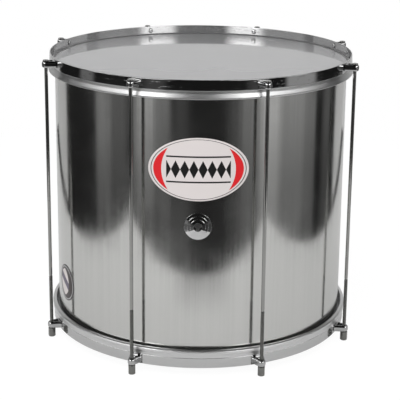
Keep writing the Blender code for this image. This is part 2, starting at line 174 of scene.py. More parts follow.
class DrumFinishes(bpy.types.PropertyGroup):
    """Colours and gloss of the finishes."""

    aluminium: colour("Aluminium", "Colour of the shell's polished sheet", (0.605, 0.605, 0.59))
    aluminium_gloss: share("Aluminium roughness", "Mean roughness of the shell", 0.10)
    grain: share("Upright grain", "Strength of the shell's upright streaks", 0.5)
    steel: colour("Steel", "Colour of the plated steel", (0.56, 0.56, 0.56))
    steel_gloss: share("Steel roughness", "Mean roughness of the plated steel", 0.05)
    lug_steel: colour("Lug steel", "Colour of the lugs", (0.47, 0.47, 0.47))
    zinc: colour("Zinc", "Colour of the rods", (0.33, 0.33, 0.32))
    nut_zinc: colour("Nut zinc", "Colour of the nuts", (0.22, 0.22, 0.21))
    zinc_gloss: share("Zinc roughness", "Mean roughness of the rods and nuts", 0.06)
    alloy: colour("Ring alloy", "Colour of the flesh hoops", (0.66, 0.66, 0.66))
    alloy_gloss: share("Ring alloy roughness", "Mean roughness of the flesh hoops", 0.34)
    chrome: colour("Chrome", "Colour of the vent", (0.66, 0.66, 0.66))
    film: colour("Film", "Colour of the milky heads", (0.545, 0.545, 0.552))
    badge_white: colour("Badge white", "Field of the badge", (0.72, 0.67, 0.66))
    badge_red: colour("Badge red", "Red of the badge", (0.72, 0.012, 0.018))
    badge_black: colour("Badge black", "Black of the badge", (0.012, 0.012, 0.012))
    label_grey: colour("Label grey", "Edge of the side label", (0.52, 0.53, 0.54))
    label_bar: colour("Label bar", "Slanting bar of the side label", (0.10, 0.08, 0.13))
    label_black: colour("Label black", "Rings and crescent of the label", (0.03, 0.02, 0.02))


class DrumStage(bpy.types.PropertyGroup):
    """Camera, sheet, room and lamps."""

    aim_height: length("Aim height", "Height of the point the camera looks at", 0.3139)
    distance: length("Distance", "From the camera to that point", 2.217)
    elevation: angle("Elevation", "Camera elevation", 14.99)
    azimuth: angle("Azimuth", "Camera azimuth", 0.48)
    roll: angle("Roll", "Camera roll", 0.57)
    lens: FloatProperty(name="Lens", description="Focal length in mm", default=111.87, min=1)
    rise: FloatProperty(name="Rise", description="Vertical shift of the lens", default=-0.125)
    sheet_left: length("Sheet left", "Reach of the white sheet to the left", 0.78)
    sheet_right: length("Sheet right", "Reach of the white sheet to the right", 0.77)
    sheet_front: length("Sheet front", "Reach of the white sheet to the front", 0.71)
    sheet_back: length("Sheet back", "Reach of the white sheet to the back", 1.30)
    sheet_white: share("Sheet white", "Albedo of the sheet and cards", 0.76)
    card_height: length("Card height", "Height of the white cards round the back", 2.4)
    ambient: share("Ambient", "Soft light from all around", 0.85)
    lamp_power: FloatProperty(
        name="Lamp power", description="Power of the soft lamp", default=26.0, min=0, unit="POWER"
    )
    lamp_size: length("Lamp size", "Diameter of the soft lamp", 1.6)
    room: share("Room", "Level of the dim room that the metal mirrors", 0.012)


def heading(azimuth):
    """Unit vector of an azimuth, measured from the front towards the right."""
    return Vector((math.sin(azimuth), -math.cos(azimuth), 0.0))


def radial_frame(azimuth, radius, height):
    """Frame whose X points outwards, Y sideways and Z up."""
    out = heading(azimuth)
    turn = Matrix((out, Vector(UP).cross(out), UP)).transposed().to_4x4()
    return Matrix.Translation(out * radius + Vector((0.0, 0.0, height))) @ turn


def middle_of(node):
    """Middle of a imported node's box."""
    low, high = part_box(node)
    return (low + high) / 2


def rod_place(number):
    """Azimuth and circle radius of a rod."""
    middle = middle_of(f"tension_rod_{number}")
    return math.atan2(middle.x, -middle.y), math.hypot(middle.x, middle.y)


def soften(work, geom, offset, segments, affect):
    """Round corners of an outline or edges of a solid."""
    bmesh.ops.bevel(
        work, geom=geom, offset=offset, segments=segments, profile=0.5, affect=affect, material=-1
    )


def section(work, corners):
    """Closed outline in the XZ plane. A corner is (x, z) or (x, z, rounding)."""
    points = [work.verts.new((corner[0], 0.0, corner[1])) for corner in corners]
    work.faces.new(points)
    for corner, point in zip(corners, points):
        if len(corner) > 2:
            soften(work, [point], corner[2], 5, "VERTICES")
    bmesh.ops.delete(work, geom=list(work.faces), context="FACES_ONLY")
    return list(work.verts) + list(work.edges)


def finish_mesh(work, name, crease=35.0):
    """Merge doubles, turn the normals outwards and shade smooth up to the crease angle."""
    bmesh.ops.remove_doubles(work, verts=list(work.verts), dist=1e-6)
    bmesh.ops.recalc_face_normals(work, faces=list(work.faces))
    mesh = bpy.data.meshes.new(name)
    work.to_mesh(mesh)
    work.free()
    mesh.shade_smooth()
    mesh.set_sharp_from_angle(angle=math.radians(crease))
    return mesh


def turned(corners, steps, crease=35.0):
    """A solid of revolution about Z from an outline of (radius, height) corners."""
    work = bmesh.new()
    outline = section(work, corners)
    bmesh.ops.spin(work, geom=outline, axis=UP, angle=2 * math.pi, steps=steps, use_merge=True)
    return finish_mesh(work, "turned", crease)


def link_object(name, data):
    """A new object in the scene."""
    made = bpy.data.objects.new(name, data)
    bpy.context.scene.collection.objects.link(made)
    return made


def boolean(mesh, tool, operation="DIFFERENCE"):
    """The mesh with the tool's mesh cut away, or kept only inside it."""
    body = link_object("cut_body", mesh)
    cutter = link_object("cut_tool", tool)
    modifier = body.modifiers.new("cut", "BOOLEAN")
    modifier.object = cutter
    modifier.operation = operation
    modifier.solver = "EXACT"
    bpy.context.view_layer.update()
    graph = bpy.context.evaluated_depsgraph_get()
    result = bpy.data.meshes.new_from_object(body.evaluated_get(graph))
    for piece in (body, cutter):
        bpy.data.objects.remove(piece, do_unlink=True)
    work = bmesh.new()
    work.from_mesh(result)
    if not work.faces:
        raise RuntimeError("a cut left nothing of " + mesh.name)
    return finish_mesh(work, mesh.name)


def rod_drill(radius, depth, steps, matrix):
    """Cylinder used as a cutter."""
    work = bmesh.new()
    ends = {"radius1": radius, "radius2": radius, "cap_ends": True}
    bmesh.ops.create_cone(work, segments=steps, depth=depth, matrix=matrix, **ends)
    return finish_mesh(work, "drill")


def place(node, mesh, finish, even=False):
    """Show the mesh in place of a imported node, on that node's body."""
    piece = link_object(node + "_fine", mesh)
    mesh.name = piece.name
    mesh.materials.clear()
    mesh.materials.append(finish)
    if even:
        modifier = piece.modifiers.new("even shading", "WEIGHTED_NORMAL")
        modifier.keep_sharp = True
    body = next(n["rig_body"] for n in bpy.data.objects if n.get("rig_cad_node") == node)
    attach(piece, body)
    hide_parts(node)


def moved(mesh, matrix):
    """A copy of the mesh, carried to its place."""
    copy = mesh.copy()
    copy.transform(matrix)
    return copy


def place_beside_rods(kind, mesh, radius, finish, even=False):
    """Copies of the mesh at every rod, on both hoops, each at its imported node's height."""
    for side in SIDES:
        for number in RODS:
            node = f"{side}_{kind}_{number}"
            spot = radial_frame(rod_place(number)[0], radius, middle_of(node).z)
            place(node, moved(mesh, spot), finish, even)


class Net:
    """Short calls for building one node tree."""

    def __init__(self, tree):
        self.tree = tree

    def node(self, kind, **settings):
        made = self.tree.nodes.new(kind)
        for key, value in settings.items():
            setattr(made, key, value)
        return made

    def feed(self, socket, value):
        if isinstance(value, bpy.types.NodeSocket):
            self.tree.links.new(value, socket)
        else:
            socket.default_value = value

    def math(self, operation, first, second=0.0, third=0.0):
        made = self.node("ShaderNodeMath", operation=operation)
        for socket, value in zip(made.inputs, (first, second, third)):
            self.feed(socket, value)
        return made.outputs[0]

    def times(self, first, second):
        return self.math("MULTIPLY", first, second)

    def plus(self, first, second):
        return self.math("ADD", first, second)

    def radius(self, across, up):
        squares = self.math("MULTIPLY_ADD", across, across, self.times(up, up))
        return self.math("SQRT", squares)

    def vector(self, operation, first, second=(0.0, 0.0, 0.0)):
        made = self.node("ShaderNodeVectorMath", operation=operation)
        self.feed(made.inputs[0], first)
        self.feed(made.inputs[1], second)
        return made.outputs["Value" if operation == "DOT_PRODUCT" else "Vector"]

    def span(self, value, low, high, to_low=0.0, to_high=1.0):
        made = self.node("ShaderNodeMapRange", interpolation_type="SMOOTHSTEP")
        for socket, number in zip(made.inputs, (value, low, high, to_low, to_high)):
            self.feed(socket, number)
        return made.outputs[0]

    def noise(self, vector, scale, detail):
        if isinstance(scale, tuple):
            vector, scale = self.vector("MULTIPLY", vector, scale), 1.0
        made = self.node("ShaderNodeTexNoise")
        values = {"Vector": vector, "Scale": scale, "Detail": detail, "Roughness": 0.55}
        for key, value in values.items():
            self.feed(made.inputs[key], value)
        return made.outputs["Fac"]

    def mix(self, share_of_second, first, second):
        made = self.node("ShaderNodeMix", data_type="RGBA")
        self.feed(made.inputs[0], share_of_second)
        self.feed(made.inputs[6], first)
        self.feed(made.inputs[7], second)
        return made.outputs[2]

    def object_space(self):
        return self.node("ShaderNodeTexCoord").outputs["Object"]

    def group(self, tree, **values):
        made = self.node("ShaderNodeGroup", node_tree=tree)
        for key, value in values.items():
            self.feed(made.inputs[key], value)
        return made


def new_group(name, takes, gives):
    """A node group that takes a vector and some values, and a Net for its inside."""
    tree = bpy.data.node_groups.new(name, "ShaderNodeTree")
    tree.interface.new_socket("Vector", in_out="INPUT", socket_type="NodeSocketVector")
    for label, default in takes.items():
        socket = tree.interface.new_socket(label, in_out="INPUT", socket_type="NodeSocketFloat")
        socket.default_value = default
    for label in gives:
        tree.interface.new_socket(label, in_out="OUTPUT", socket_type="NodeSocketFloat")
    net = Net(tree)
    return net, net.node("NodeGroupInput").outputs, net.node("NodeGroupOutput").inputs


def wear_group():
    """Handling marks: cloudy smears and fine crossing scratches on polished metal."""
    name = "Handling wear"
    if name in bpy.data.node_groups:
        return bpy.data.node_groups[name]
    values = {"Base": 0.15, "Spread": 0.1}
    net, takes, gives = new_group(name, values, ("Roughness", "Height"))
    smear = net.span(net.noise(takes["Vector"], 16.0, 4.0), 0.35, 0.7)
    scratches = net.noise(takes["Vector"], (60.0, 60.0, 900.0), 2.0)
    marks = net.span(scratches, 0.62, 0.75)
    soiled = net.math("MULTIPLY_ADD", smear, takes["Spread"], takes["Base"])
    net.feed(gives["Roughness"], net.math("MULTIPLY_ADD", marks, takes["Spread"], soiled))
    net.feed(gives["Height"], net.math("MULTIPLY_ADD", smear, 0.3, marks))
    return net.tree


def grain_group():
    """Upright rolling streaks of sheet metal, from broad waves to fine lines."""
    name = "Upright grain"
    if name in bpy.data.node_groups:
        return bpy.data.node_groups[name]
    net, takes, gives = new_group(name, {"Strength": 0.5}, ("Height", "Streaks"))
    broad = net.noise(takes["Vector"], (26.0, 26.0, 0.5), 2.0)
    lines = net.noise(takes["Vector"], (120.0, 120.0, 1.2), 2.0)
    fine = net.noise(takes["Vector"], (700.0, 700.0, 4.0), 1.0)
    height = net.math("MULTIPLY_ADD", lines, 0.16, net.times(fine, 0.02))
    height = net.plus(height, broad)
    net.feed(gives["Height"], net.times(height, takes["Strength"]))
    net.feed(gives["Streaks"], net.span(net.plus(lines, fine), 0.75, 1.25))
    return net.tree


def empty_net(owner):
    """A Net for the emptied node tree of a material or a world."""
    owner.use_nodes = True
    owner.node_tree.nodes.clear()
    return Net(owner.node_tree)


def new_material(name):
    """An empty material: its Net and its Principled shader."""
    made = bpy.data.materials.new(name)
    net = empty_net(made)
    shader = net.node("ShaderNodeBsdfPrincipled")
    net.feed(net.node("ShaderNodeOutputMaterial").inputs["Surface"], shader.outputs[0])
    return made, net, shader.inputs


def bump(net, height, strength, distance):
    """Normal from a height, with its strength and reach set on the node."""
    made = net.node("ShaderNodeBump")
    made.inputs["Strength"].default_value = strength
    made.inputs["Distance"].default_value = distance
    net.feed(made.inputs["Height"], height)
    return made.outputs[0]


def metal(name, tint, roughness, spread, relief=0.0002):
    """Plated or drawn metal with handling wear."""
    if name in bpy.data.materials:
        return bpy.data.materials[name]
    made, net, shader = new_material(name)
    wear = net.group(wear_group(), Vector=net.object_space(), Base=roughness, Spread=spread)
    shader["Metallic"].default_value = 1.0
    shader["Base Color"].default_value = (*tint, 1.0)
    net.feed(shader["Roughness"], wear.outputs["Roughness"])
    net.feed(shader["Normal"], bump(net, wear.outputs["Height"], 0.25, relief))
    return made


def shell_metal(finishes):
    """Polished sheet with upright streaks."""
    made, net, shader = new_material("drum_aluminium")
    place_in = net.object_space()
    grain = net.group(grain_group(), Vector=place_in, Strength=finishes.grain)
    wear = net.group(wear_group(), Vector=place_in, Base=finishes.aluminium_gloss, Spread=0.05)
    shader["Metallic"].default_value = 1.0
    dark = [0.97 * part for part in finishes.aluminium]
    tint = net.mix(grain.outputs["Streaks"], (*finishes.aluminium, 1.0), (*dark, 1.0))
    net.feed(shader["Base Color"], tint)
    rough = net.math("MULTIPLY_ADD", grain.outputs["Streaks"], 0.03, wear.outputs["Roughness"])
    net.feed(shader["Roughness"], rough)
    net.feed(shader["Normal"], bump(net, grain.outputs["Height"], 0.35, 0.0012))
    return made


def film_material(finishes):
    """Milky glossy plastic film."""
    made, net, shader = new_material("drum_film")
    cloud = net.span(net.noise(net.object_space(), 5.0, 3.0), 0.3, 0.7)
    pale = [min(1.0, 1.05 * part) for part in finishes.film]
    net.feed(shader["Base Color"], net.mix(cloud, (*finishes.film, 1.0), (*pale, 1.0)))
    net.feed(shader["Roughness"], net.span(cloud, 0.0, 1.0, 0.05, 0.09))
    shader["Transmission Weight"].default_value = 0.5
    shader["IOR"].default_value = 1.5
    return made


def badge_material(finishes):
    """Printed sticker: pale oval, keyline, red ends and a dark band of triangles.

    The figures are shares of its half width and half height.
    """
    made, net, shader = new_material("drum_badge")
    low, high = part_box("front_badge")
    half = (high - low) / 2
    spot = net.vector("SUBTRACT", net.object_space(), (0.0, 0.0, low.z + half.z))
    parts = net.node("ShaderNodeSeparateXYZ")
    net.feed(parts.inputs[0], spot)
    across = net.math("DIVIDE", parts.outputs["X"], half.x)
    up = net.math("DIVIDE", parts.outputs["Z"], half.z)
    ring = net.radius(across, up)
    side, level = net.math("ABSOLUTE", across), net.math("ABSOLUTE", up)
    waist = net.math("MULTIPLY_ADD", net.times(up, up), -0.30, 0.74)
    ends = net.times(net.math("LESS_THAN", ring, 0.90), net.math("GREATER_THAN", side, waist))
    teeth = net.math("PINGPONG", net.times(across, 5.5), 0.5)
    band = net.math("LESS_THAN", level, net.times(teeth, 0.56))
    rails = net.math("COMPARE", level, 0.40, 0.025)
    black = net.times(net.math("MAXIMUM", band, rails), net.math("LESS_THAN", side, 0.64))
    keyline = net.math("COMPARE", ring, 0.945, 0.008)
    tint = net.mix(ends, (*finishes.badge_white, 1.0), (*finishes.badge_red, 1.0))
    black = net.math("MAXIMUM", black, keyline)
    tint = net.mix(black, tint, (*finishes.badge_black, 1.0))
    net.feed(shader["Base Color"], tint)
    shader["Roughness"].default_value = 0.28
    return made


def label_material(finishes):
    """Small round label: pale field, two rings, a slanting bar and a crescent.

    The figures are shares of its radius.
    """
    made, net, shader = new_material("drum_label")
    middle = middle_of("side_label")
    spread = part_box("side_label")[1].z - middle.z
    side = Vector((-middle.y, middle.x, 0.0)).normalized()
    place_in = net.object_space()
    across = net.math("DIVIDE", net.vector("DOT_PRODUCT", place_in, side), spread)
    level = net.math("SUBTRACT", net.vector("DOT_PRODUCT", place_in, UP), middle.z)
    up = net.math("DIVIDE", level, spread)
    ring = net.radius(across, up)
    field = net.math("LESS_THAN", ring, 0.80)
    slant = net.math("MULTIPLY_ADD", across, 0.42, net.times(up, 0.91))
    bar = net.times(field, net.math("COMPARE", slant, 0.0, 0.2))
    hollow = net.radius(net.plus(across, 0.42), up)
    moon = net.times(field, net.math("GREATER_THAN", hollow, 0.80))
    inner_line = net.math("COMPARE", ring, 0.83, 0.05)
    lines = net.math("MAXIMUM", inner_line, net.math("COMPARE", ring, 0.96, 0.035))
    tint = net.mix(field, (*finishes.label_grey, 1.0), (*finishes.badge_white, 1.0))
    tint = net.mix(bar, tint, (*finishes.label_bar, 1.0))
    tint = net.mix(net.math("MAXIMUM", moon, lines), tint, (*finishes.label_black, 1.0))
    net.feed(shader["Base Color"], tint)
    shader["Roughness"].default_value = 0.35
    return made


class DrumOperator:
    """Shared start of the operators."""

    bl_options = {"REGISTER", "UNDO"}

    @staticmethod
    def settings():
        return bpy.context.scene.drum_forms, bpy.context.scene.drum_finishes


class DRUM_OT_shell(DrumOperator, bpy.types.Operator):
    """Polished shell with rolled edges and the hole for the vent"""

    bl_idname = "drum.shell"
    bl_label = "Shell"

    def execute(self, context):
        forms, finishes = self.settings()
        low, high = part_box("shell")
        outer = high.x
        width, depth, wall = forms.lip_width, forms.lip_depth, forms.shell_wall
        inner = outer - wall
        vent = middle_of("vent_grommet").z
        # Rings of vertices above and below the vent keep its cut away from the long faces.
        cover = 0.7 * (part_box("vent_grommet")[1].z - vent)
        lip = [(outer, 0.0, width / 2), (outer - width, 0.0, width / 3)]
        lip += [(outer - width, depth / 2, wall / 3), (inner, depth + wall, wall)]
        corners = [(radius, low.z + rise, soft) for radius, rise, soft in lip]
        corners += [(inner, vent - cover / 2), (inner, vent + cover / 2)]
        corners += [(radius, high.z - rise, soft) for radius, rise, soft in reversed(lip)]
        corners += [(outer, vent + cover), (outer, vent - cover)]
        hole = forms.vent_bore + forms.vent_neck_wall + forms.seat_gap
        aim = Matrix.Translation((0.0, -outer, vent)) @ TO_FRONT
        drill = rod_drill(hole, 20 * wall, 64, aim)
        mesh = boolean(turned(corners, forms.ring_steps), drill)
        place("shell", mesh, shell_metal(finishes), even=True)
        return {"FINISHED"}


class DRUM_OT_heads(DrumOperator, bpy.types.Operator):
    """Film heads drawn over the shell's edges"""

    bl_idname = "drum.heads"
    bl_label = "Heads"

    def execute(self, context):
        forms, finishes = self.settings()
        finish = film_material(finishes)
        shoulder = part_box("shell")[1].x + forms.seat_gap
        thick, drop, soft = forms.film_thickness, forms.collar_drop, forms.collar_rounding
        for side in SIDES:
            low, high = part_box(f"{side}_head")
            edge, face, far = (1, high.z, low.z) if side == "top" else (-1, low.z, high.z)
            corners = [
                (0.0, face),
                (shoulder, face, soft),
                (high.x, face - edge * drop, soft - thick / 2),
                (high.x, far),
                (high.x - thick, far),
                (high.x - thick, face - edge * (drop + thick / 2), soft - thick),
                (shoulder, face - edge * thick, soft - thick),
                (0.0, face - edge * thick),
            ]
            place(f"{side}_head", turned(corners, forms.ring_steps), finish)
        return {"FINISHED"}


class DRUM_OT_flesh_hoops(DrumOperator, bpy.types.Operator):
    """Bright rings that hold the films' edges"""

    bl_idname = "drum.flesh_hoops"
    bl_label = "Flesh hoops"

    def execute(self, context):
        forms, finishes = self.settings()
        finish = metal("drum_ring_alloy", finishes.alloy, finishes.alloy_gloss, 0.08, 0.00005)
        soft = forms.flesh_softening
        for side in SIDES:
            low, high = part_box(f"{side}_flesh_hoop")
            near, far = (high.z, low.z) if side == "top" else (low.z, high.z)
            inner = high.x - forms.flesh_width
            lean, bulge, tuck = FLESH_SECTIONS[side]
            lean, tuck = lean * forms.flesh_lean, tuck * forms.flesh_rounding
            corners = [
                (inner, near, 0.6 * soft),
                (high.x - 1.1 * lean, near, 0.4 * soft),
                (high.x - lean, far + 0.7 * (near - far), soft),
                (high.x, far + bulge * (near - far), soft),
                (high.x - 0.4 * soft, far, tuck),
                (inner, far, 0.6 * soft),
            ]
            mesh = turned(corners, forms.ring_steps)
            place(f"{side}_flesh_hoop", mesh, finish, even=True)
        return {"FINISHED"}


class DRUM_OT_counter_hoops(DrumOperator, bpy.types.Operator):
    """Flat steel bands at both ends"""

    bl_idname = "drum.counter_hoops"
    bl_label = "Counter hoops"

    def execute(self, context):
        forms, finishes = self.settings()
        finish = metal("drum_band_steel", finishes.steel, finishes.steel_gloss, 0.05)
        soft = forms.band_rounding
        for side in SIDES:
            low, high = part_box(f"{side}_counter_hoop")
            inner = high.x - forms.band_wall
            lean = forms.band_lean if side == "top" else 0.0
            corners = [(inner, low.z, soft), (high.x, low.z, soft)]
            corners += [(high.x - lean, high.z, soft), (inner, high.z, soft)]
            mesh = turned(corners, forms.ring_steps)
            place(f"{side}_counter_hoop", mesh, finish, even=True)
        return {"FINISHED"}


class DRUM_OT_lugs(DrumOperator, bpy.types.Operator):
    """Strap loops that hold the rods"""

    bl_idname = "drum.lugs"
    bl_label = "Lugs"

    def outline(self, work, centre, radius, base, corner, steps):
        """Edge loop of a tapered strap: two base corners and an arc around the rod."""
        span = math.hypot(centre - base, corner)
        start = math.atan2(corner, base - centre) - math.acos(radius / span)
        arc = [start * (1 - 2 * step / steps) for step in range(steps + 1)]
        points = [(base, corner)]
        points += [(centre + radius * math.cos(a), radius * math.sin(a)) for a in arc]
        points += [(base, -corner)]
        verts = [work.verts.new((x, y, 0.0)) for x, y in points]
        return [work.edges.new(pair) for pair in zip(verts, verts[1:] + verts[:1])]

    def strap(self, forms, centre, height):
        """One strap in its own frame, its base at X = 0.

        It is rounded while squat and then stretched, so that the rounding takes up its height.
        """
        inner = forms.thread_radius + forms.rod_play
        outer = inner + forms.strap_thickness
        work = bmesh.new()
        steps = forms.small_steps
        half = forms.lug_base / 2
        edges = self.outline(work, centre, outer, 0.0, half, steps)
        inset = half - 1.6 * forms.strap_thickness
        edges += self.outline(work, centre, inner, forms.lug_base_thickness, inset, steps)
        bmesh.ops.bridge_loops(work, edges=edges)
        raised = bmesh.ops.extrude_face_region(work, geom=list(work.faces))
        tops = [item for item in raised["geom"] if isinstance(item, bmesh.types.BMVert)]
        squat = 2.3 * forms.lug_rounding
        bmesh.ops.translate(work, verts=tops, vec=(0.0, 0.0, squat))
        bmesh.ops.translate(work, verts=list(work.verts), vec=(0.0, 0.0, -squat / 2))
        bmesh.ops.recalc_face_normals(work, faces=list(work.faces))
        for outside, part, segments in ((True, 1.0, 8), (False, 0.12, 3)):
            rims = []
            for edge in work.edges:
                level = abs(edge.verts[0].co.z - edge.verts[1].co.z) < 1e-6
                sharp = len(edge.link_faces) == 2 and edge.calc_face_angle() > 1.2
                if not (level and sharp):
                    continue
                flank = min(edge.link_faces, key=lambda face: abs(face.normal.z))
                away = flank.calc_center_median() - Vector((centre, 0.0, 0.0))
                facing = flank.normal.dot(Vector((away.x, away.y, 0.0))) > 0
                seated = flank.normal.x < -0.99 and flank.calc_center_median().x < 1e-5
                if outside == (facing and not seated):
                    rims.append(edge)
            soften(work, rims, part * forms.lug_rounding, segments, "EDGES")
        bmesh.ops.scale(work, vec=(1.0, 1.0, height / squat), verts=list(work.verts))
        return finish_mesh(work, "strap")

    def execute(self, context):
        forms, finishes = self.settings()
        finish = metal("drum_lug_steel", finishes.lug_steel, 0.6 * finishes.steel_gloss, 0.03)
        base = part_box("top_counter_hoop")[1].x + forms.seat_gap
        low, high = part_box("top_lug_1")
        strap = self.strap(forms, rod_place(1)[1] - base, high.z - low.z)
        place_beside_rods("lug", strap, base, finish, even=True)
        return {"FINISHED"}


class DRUM_OT_rivets(DrumOperator, bpy.types.Operator):
    """Domed rivets through the lugs' bases and the hoops"""

    bl_idname = "drum.rivets"
    bl_label = "Rivets"

    def execute(self, context):
        forms, finishes = self.settings()
        finish = metal("drum_rivet_steel", finishes.steel, finishes.steel_gloss + 0.06, 0.1)
        head, rise = forms.rivet_head_radius, forms.rivet_head_height
        inside = -forms.band_wall - 2 * forms.seat_gap
        outside = forms.lug_base_thickness + 2 * forms.seat_gap
        corners = [(head * r, inside - rise * h) for r, h in RIVET_DOME]
        corners += [(forms.rivet_radius, inside), (forms.rivet_radius, outside)]
        corners += [(head * r, outside + rise * h) for r, h in reversed(RIVET_DOME)]
        rivet = turned(corners, forms.small_steps, 50.0)
        rivet.transform(Matrix.Rotation(math.pi / 2, 4, "Y"))
        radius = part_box("top_counter_hoop")[1].x
        place_beside_rods("rivet", rivet, radius, finish)
        return {"FINISHED"}


class DRUM_OT_rods(DrumOperator, bpy.types.Operator):
    """Tension rods with heads, plain shanks and cut threads"""

    bl_idname = "drum.rods"
    bl_label = "Tension rods"

    def execute(self, context):
        forms, finishes = self.settings()
        finish = metal("drum_rod_steel", finishes.zinc, finishes.zinc_gloss, 0.05)
        low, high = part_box("tension_rod_1")
        tall = forms.rod_head_height
        under, crown = high.z - tall, 0.4 * tall
        head = (high.x - low.x) / 2
        crest, shank, pitch = forms.thread_radius, forms.rod_radius, forms.thread_pitch
        root = crest - 0.6 * pitch
        corners = [(0.0, low.z), (0.6 * crest, low.z), (root, low.z + 0.4 * crest)]
        corners += [(root, forms.thread_top), (shank, forms.thread_top + pitch)]
        corners += [(shank, under), (head, under), (head, under + 0.75 * tall, crown)]
        corners += [(0.55 * head, high.z, crown), (0.0, high.z)]
        coil = bmesh.new()
        start = low.z + 0.5 * crest
        turns = int((forms.thread_top - start) / pitch)
        # The ridge is sunk into the core a little. Its heights are shares of the pitch.
        sunk = root - 0.0002
        ridge = [(sunk, -0.46), (crest, -0.08), (crest, 0.08), (sunk, 0.46)]
        outline = section(coil, [(radius, start + level * pitch) for radius, level in ridge])
        steps = 20
        climb, sweep = (0.0, 0.0, pitch / steps), 2 * math.pi * turns
        bmesh.ops.spin(
            coil, geom=outline, axis=UP, dvec=climb, angle=sweep, steps=steps * turns
        )
        work = bmesh.new()
        work.from_mesh(turned(corners, forms.small_steps))
        work.from_mesh(finish_mesh(coil, "thread"))
        rod = finish_mesh(work, "rod", 50.0)
        for number in RODS:
            azimuth, circle = rod_place(number)
            spot = Matrix.Translation(heading(azimuth) * circle)
            place(f"tension_rod_{number}", moved(rod, spot), finish)
        return {"FINISHED"}


class DRUM_OT_nuts(DrumOperator, bpy.types.Operator):
    """Long hexagon nuts with turned chamfers"""

    bl_idname = "drum.nuts"
    bl_label = "Tuning nuts"

    def execute(self, context):
        forms, finishes = self.settings()
        finish = metal("drum_nut_steel", finishes.nut_zinc, finishes.zinc_gloss, 0.08)
        low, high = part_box("tuning_nut_1")
        tall = high.z - low.z
        flats = forms.nut_flats / 2
        corner = flats / math.cos(math.pi / 6)
        prism = rod_drill(corner, tall, 6, Matrix.Translation((0.0, 0.0, tall / 2)))
        # A turned blank, a little wider than the corners, whose ends slope.
        blank = [(0.0, 0.0), (0.94 * flats, 0.0), (1.02 * corner, forms.nut_chamfer)]
        blank += [(radius, tall - rise) for radius, rise in reversed(blank)]
        chamfered = boolean(prism, turned(blank, 96), "INTERSECT")
        bore = rod_drill(forms.nut_bore, 3 * tall, 48, Matrix())
        nut = boolean(chamfered, bore)
        for number in RODS:
            node = f"tuning_nut_{number}"
            spot = radial_frame(*rod_place(number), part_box(node)[0].z)
            place(node, moved(nut, spot), finish)
        return {"FINISHED"}


class DRUM_OT_vent(DrumOperator, bpy.types.Operator):
    """Stepped chrome vent grommet and the ring that locks it"""

    bl_idname = "drum.vent"
    bl_label = "Vent"

    def seat(self, mesh, radius, height):
        """Turn a piece spun about Z to face the front and let it follow the shell."""
        mesh.transform(TO_FRONT)
        for point in mesh.vertices:
            point.co.y += radius - math.sqrt(radius**2 - point.co.x**2)
        mesh.transform(Matrix.Translation((0.0, -radius, height)))

    def execute(self, context):
        forms, finishes = self.settings()
        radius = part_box("shell")[1].x
        low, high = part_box("vent_grommet")
        height = (low.z + high.z) / 2
        outer = (high.x - low.x) / 2
        rise = -radius - low.y
        back = -(high.y + radius)
        gap, soft = forms.seat_gap, forms.vent_rounding
        bore, neck = forms.vent_bore, forms.vent_bore + forms.vent_neck_wall
        corners = [(bore, back), (bore, rise, soft)]
        corners += [(neck + r * (outer - neck), h * rise, soft / 2) for r, h in VENT_TERRACES]
        corners += [(outer, VENT_RIM * rise, soft), (outer, gap), (neck, gap), (neck, back)]
        mesh = turned(corners, 128, 40.0)
        self.seat(mesh, radius, height)
        finish = metal("drum_vent_chrome", finishes.chrome, 0.02, 0.02, 0.00005)
        place("vent_grommet", mesh, finish, even=True)
        low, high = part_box("vent_lock_ring")
        inner, outer = neck + gap, (high.x - low.x) / 2
        front = -(low.y + radius)
        rear = front - forms.lock_thickness
        soft = forms.lock_rounding
        corners = [(inner, rear, soft), (outer, rear, 2 * soft)]
        corners += [(outer, front, soft), (inner, front, soft)]
        mesh = turned(corners, 96, 40.0)
        self.seat(mesh, radius, height)
        finish = metal("drum_lock_steel", finishes.steel, 0.3, 0.1)
        place("vent_lock_ring", mesh, finish, even=True)
        return {"FINISHED"}


class DRUM_OT_stickers(DrumOperator, bpy.types.Operator):
    """Front badge and side label, thin printed plates that follow the shell"""

    bl_idname = "drum.stickers"
    bl_label = "Badge and label"

    def plate(self, node, half_width, forms, radius):
        """Disc with soft edges, stretched to an oval and laid on the shell."""
        middle = middle_of(node)
        azimuth = math.atan2(middle.x, -middle.y) if abs(middle.x) > 1e-4 else 0.0
        half_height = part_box(node)[1].z - middle.z
        inner = radius + forms.seat_gap
        thick = forms.sticker_thickness
        # Many circles of vertices, so that the disc can follow the shell.
        circles = 18
        flat = [0.985 * circle / circles for circle in range(circles + 1)]
        corners = [(part, 0.0) for part in flat] + [(1.0, 0.4 * thick)]
        corners += [(part, thick) for part in reversed(flat)]
        mesh = turned(corners, 144, 60.0)
        mesh.transform(Matrix.Diagonal((half_width, half_height, 1.0, 1.0)))
        mesh.transform(TO_FRONT)
        for point in mesh.vertices:
            out = inner - point.co.y
            point.co.y = -math.sqrt(out**2 - point.co.x**2)
        mesh.transform(Matrix.Translation((0.0, 0.0, middle.z)))
        mesh.transform(Matrix.Rotation(azimuth, 4, "Z"))
        return mesh

    def execute(self, context):
        forms, finishes = self.settings()
        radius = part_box("shell")[1].x
        for node, axis, slot, material in (
            ("front_badge", 0, "badge_face", badge_material),
            ("side_label", 2, "label_face", label_material),
        ):
            low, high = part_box(node)
            mesh = self.plate(node, (high[axis] - low[axis]) / 2, forms, radius)
            place(node, mesh, material(finishes))
        return {"FINISHED"}


